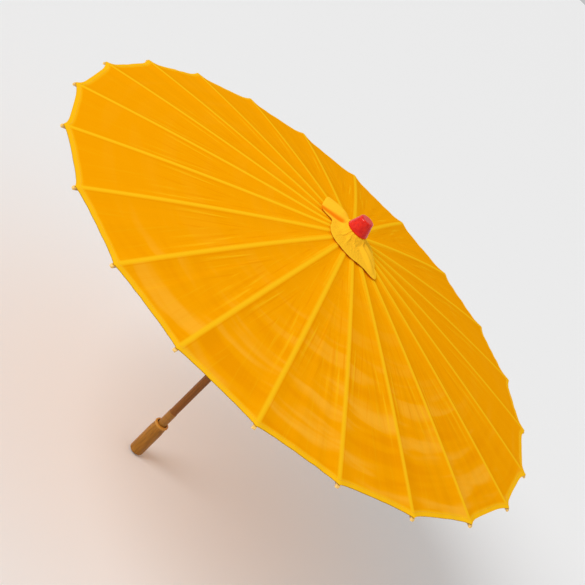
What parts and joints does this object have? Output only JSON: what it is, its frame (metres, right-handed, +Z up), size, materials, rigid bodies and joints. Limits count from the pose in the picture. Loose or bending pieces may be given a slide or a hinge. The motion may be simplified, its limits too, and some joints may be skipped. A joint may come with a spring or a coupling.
{
  "type": "cloth parasol",
  "caption": "Open Chinese parasol: cloth canopy on split bamboo ribs that fold on a sliding runner, with a turned wooden handle.",
  "frame": {"origin": "middle of the lower end of the handle", "axes": "+Z up along the pole to the cap, +X along the first rib"},
  "size_m": [0.822, 0.814, 0.5385],
  "materials": {
    "handle_wood": "turned, satin varnish",
    "pole_bamboo": "stained and varnished",
    "red_lacquer": "gloss red lacquer",
    "cloth": "satin woven cloth",
    "ring_wood": "turned, unvarnished",
    "thread": "waxed cotton thread",
    "peg_wood": "split bamboo",
    "catch_steel": "spring steel strip",
    "rib_bamboo": "split bamboo",
    "stretcher_bamboo": "split bamboo"
  },
  "bodies": {
    "root": {"handle": "handle_wood", "pole": "pole_bamboo", "cap": "red_lacquer", "crown_cloth": "cloth", "canopy": "cloth", "hub": "ring_wood", "hub_thread": "thread", "hub_peg": "peg_wood", "stop_peg": "peg_wood", "catch_pin": "catch_steel"},
    "runner": {"runner": "ring_wood", "runner_thread": "thread"},
    "catch": {"catch": "catch_steel"},
    "rib_01": {"rib_01": "rib_bamboo"},
    "rib_02": {"rib_02": "rib_bamboo"},
    "rib_03": {"rib_03": "rib_bamboo"},
    "rib_04": {"rib_04": "rib_bamboo"},
    "rib_05": {"rib_05": "rib_bamboo"},
    "rib_06": {"rib_06": "rib_bamboo"},
    "rib_07": {"rib_07": "rib_bamboo"},
    "rib_08": {"rib_08": "rib_bamboo"},
    "rib_09": {"rib_09": "rib_bamboo"},
    "rib_10": {"rib_10": "rib_bamboo"},
    "rib_11": {"rib_11": "rib_bamboo"},
    "rib_12": {"rib_12": "rib_bamboo"},
    "rib_13": {"rib_13": "rib_bamboo"},
    "rib_14": {"rib_14": "rib_bamboo"},
    "rib_15": {"rib_15": "rib_bamboo"},
    "rib_16": {"rib_16": "rib_bamboo"},
    "rib_17": {"rib_17": "rib_bamboo"},
    "rib_18": {"rib_18": "rib_bamboo"},
    "rib_19": {"rib_19": "rib_bamboo"},
    "rib_20": {"rib_20": "rib_bamboo"},
    "rib_21": {"rib_21": "rib_bamboo"},
    "rib_22": {"rib_22": "rib_bamboo"},
    "stretcher_01": {"stretcher_01": "stretcher_bamboo"},
    "stretcher_02": {"stretcher_02": "stretcher_bamboo"},
    "stretcher_03": {"stretcher_03": "stretcher_bamboo"},
    "stretcher_04": {"stretcher_04": "stretcher_bamboo"},
    "stretcher_05": {"stretcher_05": "stretcher_bamboo"},
    "stretcher_06": {"stretcher_06": "stretcher_bamboo"},
    "stretcher_07": {"stretcher_07": "stretcher_bamboo"},
    "stretcher_08": {"stretcher_08": "stretcher_bamboo"},
    "stretcher_09": {"stretcher_09": "stretcher_bamboo"},
    "stretcher_10": {"stretcher_10": "stretcher_bamboo"},
    "stretcher_11": {"stretcher_11": "stretcher_bamboo"},
    "stretcher_12": {"stretcher_12": "stretcher_bamboo"},
    "stretcher_13": {"stretcher_13": "stretcher_bamboo"},
    "stretcher_14": {"stretcher_14": "stretcher_bamboo"},
    "stretcher_15": {"stretcher_15": "stretcher_bamboo"},
    "stretcher_16": {"stretcher_16": "stretcher_bamboo"},
    "stretcher_17": {"stretcher_17": "stretcher_bamboo"},
    "stretcher_18": {"stretcher_18": "stretcher_bamboo"},
    "stretcher_19": {"stretcher_19": "stretcher_bamboo"},
    "stretcher_20": {"stretcher_20": "stretcher_bamboo"},
    "stretcher_21": {"stretcher_21": "stretcher_bamboo"},
    "stretcher_22": {"stretcher_22": "stretcher_bamboo"}
  },
  "joints": [
    {"name": "runner_slide", "type": "slide", "parent": "root", "child": "runner", "axis": [0, 0, 1], "range_m": [-0.32783, 0], "deforming": ["canopy", "crown_cloth", "catch"]},
    {"name": "rib_01_fold", "type": "hinge", "parent": "root", "child": "rib_01", "pos_m": [0.012, 0, 0.50377], "axis": [0, -1, 0], "range_deg": [-77.32, 0]},
    {"name": "stretcher_01_fold", "type": "hinge", "parent": "rib_01", "child": "stretcher_01", "pos_m": [0.205, 0, 0.47254], "axis": [0, -1, 0], "range_deg": [0, 154.64]},
    {"name": "rib_02_fold", "type": "hinge", "parent": "root", "child": "rib_02", "pos_m": [0.01151, 0.00338, 0.50377], "axis": [0.2817, -0.9595, 0], "range_deg": [-77.32, 0]},
    {"name": "stretcher_02_fold", "type": "hinge", "parent": "rib_02", "child": "stretcher_02", "pos_m": [0.1967, 0.05776, 0.47254], "axis": [0.2817, -0.9595, 0], "range_deg": [0, 154.64]},
    {"name": "rib_03_fold", "type": "hinge", "parent": "root", "child": "rib_03", "pos_m": [0.0101, 0.00649, 0.50377], "axis": [0.5406, -0.8413, 0], "range_deg": [-77.32, 0]},
    {"name": "stretcher_03_fold", "type": "hinge", "parent": "rib_03", "child": "stretcher_03", "pos_m": [0.17246, 0.11083, 0.47254], "axis": [0.5406, -0.8413, 0], "range_deg": [0, 154.64]},
    {"name": "rib_04_fold", "type": "hinge", "parent": "root", "child": "rib_04", "pos_m": [0.00786, 0.00907, 0.50377], "axis": [0.7557, -0.6549, 0], "range_deg": [-77.32, 0]},
    {"name": "stretcher_04_fold", "type": "hinge", "parent": "rib_04", "child": "stretcher_04", "pos_m": [0.13425, 0.15493, 0.47254], "axis": [0.7557, -0.6549, 0], "range_deg": [0, 154.64]},
    {"name": "rib_05_fold", "type": "hinge", "parent": "root", "child": "rib_05", "pos_m": [0.00498, 0.01092, 0.50377], "axis": [0.9096, -0.4154, 0], "range_deg": [-77.32, 0]},
    {"name": "stretcher_05_fold", "type": "hinge", "parent": "rib_05", "child": "stretcher_05", "pos_m": [0.08516, 0.18647, 0.47254], "axis": [0.9096, -0.4154, 0], "range_deg": [0, 154.64]},
    {"name": "rib_06_fold", "type": "hinge", "parent": "root", "child": "rib_06", "pos_m": [0.00171, 0.01188, 0.50377], "axis": [0.9898, -0.1423, 0], "range_deg": [-77.32, 0]},
    {"name": "stretcher_06_fold", "type": "hinge", "parent": "rib_06", "child": "stretcher_06", "pos_m": [0.02917, 0.20291, 0.47254], "axis": [0.9898, -0.1423, 0], "range_deg": [0, 154.64]},
    {"name": "rib_07_fold", "type": "hinge", "parent": "root", "child": "rib_07", "pos_m": [-0.00171, 0.01188, 0.50377], "axis": [0.9898, 0.1423, 0], "range_deg": [-77.32, 0]},
    {"name": "stretcher_07_fold", "type": "hinge", "parent": "rib_07", "child": "stretcher_07", "pos_m": [-0.02917, 0.20291, 0.47254], "axis": [0.9898, 0.1423, 0], "range_deg": [0, 154.64]},
    {"name": "rib_08_fold", "type": "hinge", "parent": "root", "child": "rib_08", "pos_m": [-0.00498, 0.01092, 0.50377], "axis": [0.9096, 0.4154, 0], "range_deg": [-77.32, 0]},
    {"name": "stretcher_08_fold", "type": "hinge", "parent": "rib_08", "child": "stretcher_08", "pos_m": [-0.08516, 0.18647, 0.47254], "axis": [0.9096, 0.4154, 0], "range_deg": [0, 154.64]},
    {"name": "rib_09_fold", "type": "hinge", "parent": "root", "child": "rib_09", "pos_m": [-0.00786, 0.00907, 0.50377], "axis": [0.7557, 0.6549, 0], "range_deg": [-77.32, 0]},
    {"name": "stretcher_09_fold", "type": "hinge", "parent": "rib_09", "child": "stretcher_09", "pos_m": [-0.13425, 0.15493, 0.47254], "axis": [0.7557, 0.6549, 0], "range_deg": [0, 154.64]},
    {"name": "rib_10_fold", "type": "hinge", "parent": "root", "child": "rib_10", "pos_m": [-0.0101, 0.00649, 0.50377], "axis": [0.5406, 0.8413, 0], "range_deg": [-77.32, 0]},
    {"name": "stretcher_10_fold", "type": "hinge", "parent": "rib_10", "child": "stretcher_10", "pos_m": [-0.17246, 0.11083, 0.47254], "axis": [0.5406, 0.8413, 0], "range_deg": [0, 154.64]},
    {"name": "rib_11_fold", "type": "hinge", "parent": "root", "child": "rib_11", "pos_m": [-0.01151, 0.00338, 0.50377], "axis": [0.2817, 0.9595, 0], "range_deg": [-77.32, 0]},
    {"name": "stretcher_11_fold", "type": "hinge", "parent": "rib_11", "child": "stretcher_11", "pos_m": [-0.1967, 0.05776, 0.47254], "axis": [0.2817, 0.9595, 0], "range_deg": [0, 154.64]},
    {"name": "rib_12_fold", "type": "hinge", "parent": "root", "child": "rib_12", "pos_m": [-0.012, 0, 0.50377], "axis": [0, 1, 0], "range_deg": [-77.32, 0]},
    {"name": "stretcher_12_fold", "type": "hinge", "parent": "rib_12", "child": "stretcher_12", "pos_m": [-0.205, 0, 0.47254], "axis": [0, 1, 0], "range_deg": [0, 154.64]},
    {"name": "rib_13_fold", "type": "hinge", "parent": "root", "child": "rib_13", "pos_m": [-0.01151, -0.00338, 0.50377], "axis": [-0.2817, 0.9595, 0], "range_deg": [-77.32, 0]},
    {"name": "stretcher_13_fold", "type": "hinge", "parent": "rib_13", "child": "stretcher_13", "pos_m": [-0.1967, -0.05776, 0.47254], "axis": [-0.2817, 0.9595, 0], "range_deg": [0, 154.64]},
    {"name": "rib_14_fold", "type": "hinge", "parent": "root", "child": "rib_14", "pos_m": [-0.0101, -0.00649, 0.50377], "axis": [-0.5406, 0.8413, 0], "range_deg": [-77.32, 0]},
    {"name": "stretcher_14_fold", "type": "hinge", "parent": "rib_14", "child": "stretcher_14", "pos_m": [-0.17246, -0.11083, 0.47254], "axis": [-0.5406, 0.8413, 0], "range_deg": [0, 154.64]},
    {"name": "rib_15_fold", "type": "hinge", "parent": "root", "child": "rib_15", "pos_m": [-0.00786, -0.00907, 0.50377], "axis": [-0.7557, 0.6549, 0], "range_deg": [-77.32, 0]},
    {"name": "stretcher_15_fold", "type": "hinge", "parent": "rib_15", "child": "stretcher_15", "pos_m": [-0.13425, -0.15493, 0.47254], "axis": [-0.7557, 0.6549, 0], "range_deg": [0, 154.64]},
    {"name": "rib_16_fold", "type": "hinge", "parent": "root", "child": "rib_16", "pos_m": [-0.00498, -0.01092, 0.50377], "axis": [-0.9096, 0.4154, 0], "range_deg": [-77.32, 0]},
    {"name": "stretcher_16_fold", "type": "hinge", "parent": "rib_16", "child": "stretcher_16", "pos_m": [-0.08516, -0.18647, 0.47254], "axis": [-0.9096, 0.4154, 0], "range_deg": [0, 154.64]},
    {"name": "rib_17_fold", "type": "hinge", "parent": "root", "child": "rib_17", "pos_m": [-0.00171, -0.01188, 0.50377], "axis": [-0.9898, 0.1423, 0], "range_deg": [-77.32, 0]},
    {"name": "stretcher_17_fold", "type": "hinge", "parent": "rib_17", "child": "stretcher_17", "pos_m": [-0.02917, -0.20291, 0.47254], "axis": [-0.9898, 0.1423, 0], "range_deg": [0, 154.64]},
    {"name": "rib_18_fold", "type": "hinge", "parent": "root", "child": "rib_18", "pos_m": [0.00171, -0.01188, 0.50377], "axis": [-0.9898, -0.1423, 0], "range_deg": [-77.32, 0]},
    {"name": "stretcher_18_fold", "type": "hinge", "parent": "rib_18", "child": "stretcher_18", "pos_m": [0.02917, -0.20291, 0.47254], "axis": [-0.9898, -0.1423, 0], "range_deg": [0, 154.64]},
    {"name": "rib_19_fold", "type": "hinge", "parent": "root", "child": "rib_19", "pos_m": [0.00498, -0.01092, 0.50377], "axis": [-0.9096, -0.4154, 0], "range_deg": [-77.32, 0]},
    {"name": "stretcher_19_fold", "type": "hinge", "parent": "rib_19", "child": "stretcher_19", "pos_m": [0.08516, -0.18647, 0.47254], "axis": [-0.9096, -0.4154, 0], "range_deg": [0, 154.64]},
    {"name": "rib_20_fold", "type": "hinge", "parent": "root", "child": "rib_20", "pos_m": [0.00786, -0.00907, 0.50377], "axis": [-0.7557, -0.6549, 0], "range_deg": [-77.32, 0]},
    {"name": "stretcher_20_fold", "type": "hinge", "parent": "rib_20", "child": "stretcher_20", "pos_m": [0.13425, -0.15493, 0.47254], "axis": [-0.7557, -0.6549, 0], "range_deg": [0, 154.64]},
    {"name": "rib_21_fold", "type": "hinge", "parent": "root", "child": "rib_21", "pos_m": [0.0101, -0.00649, 0.50377], "axis": [-0.5406, -0.8413, 0], "range_deg": [-77.32, 0]},
    {"name": "stretcher_21_fold", "type": "hinge", "parent": "rib_21", "child": "stretcher_21", "pos_m": [0.17246, -0.11083, 0.47254], "axis": [-0.5406, -0.8413, 0], "range_deg": [0, 154.64]},
    {"name": "rib_22_fold", "type": "hinge", "parent": "root", "child": "rib_22", "pos_m": [0.01151, -0.00338, 0.50377], "axis": [-0.2817, -0.9595, 0], "range_deg": [-77.32, 0]},
    {"name": "stretcher_22_fold", "type": "hinge", "parent": "rib_22", "child": "stretcher_22", "pos_m": [0.1967, -0.05776, 0.47254], "axis": [-0.2817, -0.9595, 0], "range_deg": [0, 154.64]},
    {"name": "catch_press", "type": "hinge", "parent": "root", "child": "catch", "pos_m": [0.002, 0, 0.38991], "axis": [0, -1, 0], "range_deg": [0, 5], "stiffness_Nm_per_rad": 0.02, "springref_deg": -11.46}
  ],
  "couplings": [
    {"joint": "rib_01_fold", "follows": "runner_slide", "rad_per_m": 4.1158},
    {"joint": "stretcher_01_fold", "follows": "runner_slide", "rad_per_m": -8.2316},
    {"joint": "rib_02_fold", "follows": "runner_slide", "rad_per_m": 4.1158},
    {"joint": "stretcher_02_fold", "follows": "runner_slide", "rad_per_m": -8.2316},
    {"joint": "rib_03_fold", "follows": "runner_slide", "rad_per_m": 4.1158},
    {"joint": "stretcher_03_fold", "follows": "runner_slide", "rad_per_m": -8.2316},
    {"joint": "rib_04_fold", "follows": "runner_slide", "rad_per_m": 4.1158},
    {"joint": "stretcher_04_fold", "follows": "runner_slide", "rad_per_m": -8.2316},
    {"joint": "rib_05_fold", "follows": "runner_slide", "rad_per_m": 4.1158},
    {"joint": "stretcher_05_fold", "follows": "runner_slide", "rad_per_m": -8.2316},
    {"joint": "rib_06_fold", "follows": "runner_slide", "rad_per_m": 4.1158},
    {"joint": "stretcher_06_fold", "follows": "runner_slide", "rad_per_m": -8.2316},
    {"joint": "rib_07_fold", "follows": "runner_slide", "rad_per_m": 4.1158},
    {"joint": "stretcher_07_fold", "follows": "runner_slide", "rad_per_m": -8.2316},
    {"joint": "rib_08_fold", "follows": "runner_slide", "rad_per_m": 4.1158},
    {"joint": "stretcher_08_fold", "follows": "runner_slide", "rad_per_m": -8.2316},
    {"joint": "rib_09_fold", "follows": "runner_slide", "rad_per_m": 4.1158},
    {"joint": "stretcher_09_fold", "follows": "runner_slide", "rad_per_m": -8.2316},
    {"joint": "rib_10_fold", "follows": "runner_slide", "rad_per_m": 4.1158},
    {"joint": "stretcher_10_fold", "follows": "runner_slide", "rad_per_m": -8.2316},
    {"joint": "rib_11_fold", "follows": "runner_slide", "rad_per_m": 4.1158},
    {"joint": "stretcher_11_fold", "follows": "runner_slide", "rad_per_m": -8.2316},
    {"joint": "rib_12_fold", "follows": "runner_slide", "rad_per_m": 4.1158},
    {"joint": "stretcher_12_fold", "follows": "runner_slide", "rad_per_m": -8.2316},
    {"joint": "rib_13_fold", "follows": "runner_slide", "rad_per_m": 4.1158},
    {"joint": "stretcher_13_fold", "follows": "runner_slide", "rad_per_m": -8.2316},
    {"joint": "rib_14_fold", "follows": "runner_slide", "rad_per_m": 4.1158},
    {"joint": "stretcher_14_fold", "follows": "runner_slide", "rad_per_m": -8.2316},
    {"joint": "rib_15_fold", "follows": "runner_slide", "rad_per_m": 4.1158},
    {"joint": "stretcher_15_fold", "follows": "runner_slide", "rad_per_m": -8.2316},
    {"joint": "rib_16_fold", "follows": "runner_slide", "rad_per_m": 4.1158},
    {"joint": "stretcher_16_fold", "follows": "runner_slide", "rad_per_m": -8.2316},
    {"joint": "rib_17_fold", "follows": "runner_slide", "rad_per_m": 4.1158},
    {"joint": "stretcher_17_fold", "follows": "runner_slide", "rad_per_m": -8.2316},
    {"joint": "rib_18_fold", "follows": "runner_slide", "rad_per_m": 4.1158},
    {"joint": "stretcher_18_fold", "follows": "runner_slide", "rad_per_m": -8.2316},
    {"joint": "rib_19_fold", "follows": "runner_slide", "rad_per_m": 4.1158},
    {"joint": "stretcher_19_fold", "follows": "runner_slide", "rad_per_m": -8.2316},
    {"joint": "rib_20_fold", "follows": "runner_slide", "rad_per_m": 4.1158},
    {"joint": "stretcher_20_fold", "follows": "runner_slide", "rad_per_m": -8.2316},
    {"joint": "rib_21_fold", "follows": "runner_slide", "rad_per_m": 4.1158},
    {"joint": "stretcher_21_fold", "follows": "runner_slide", "rad_per_m": -8.2316},
    {"joint": "rib_22_fold", "follows": "runner_slide", "rad_per_m": 4.1158},
    {"joint": "stretcher_22_fold", "follows": "runner_slide", "rad_per_m": -8.2316}
  ]
}
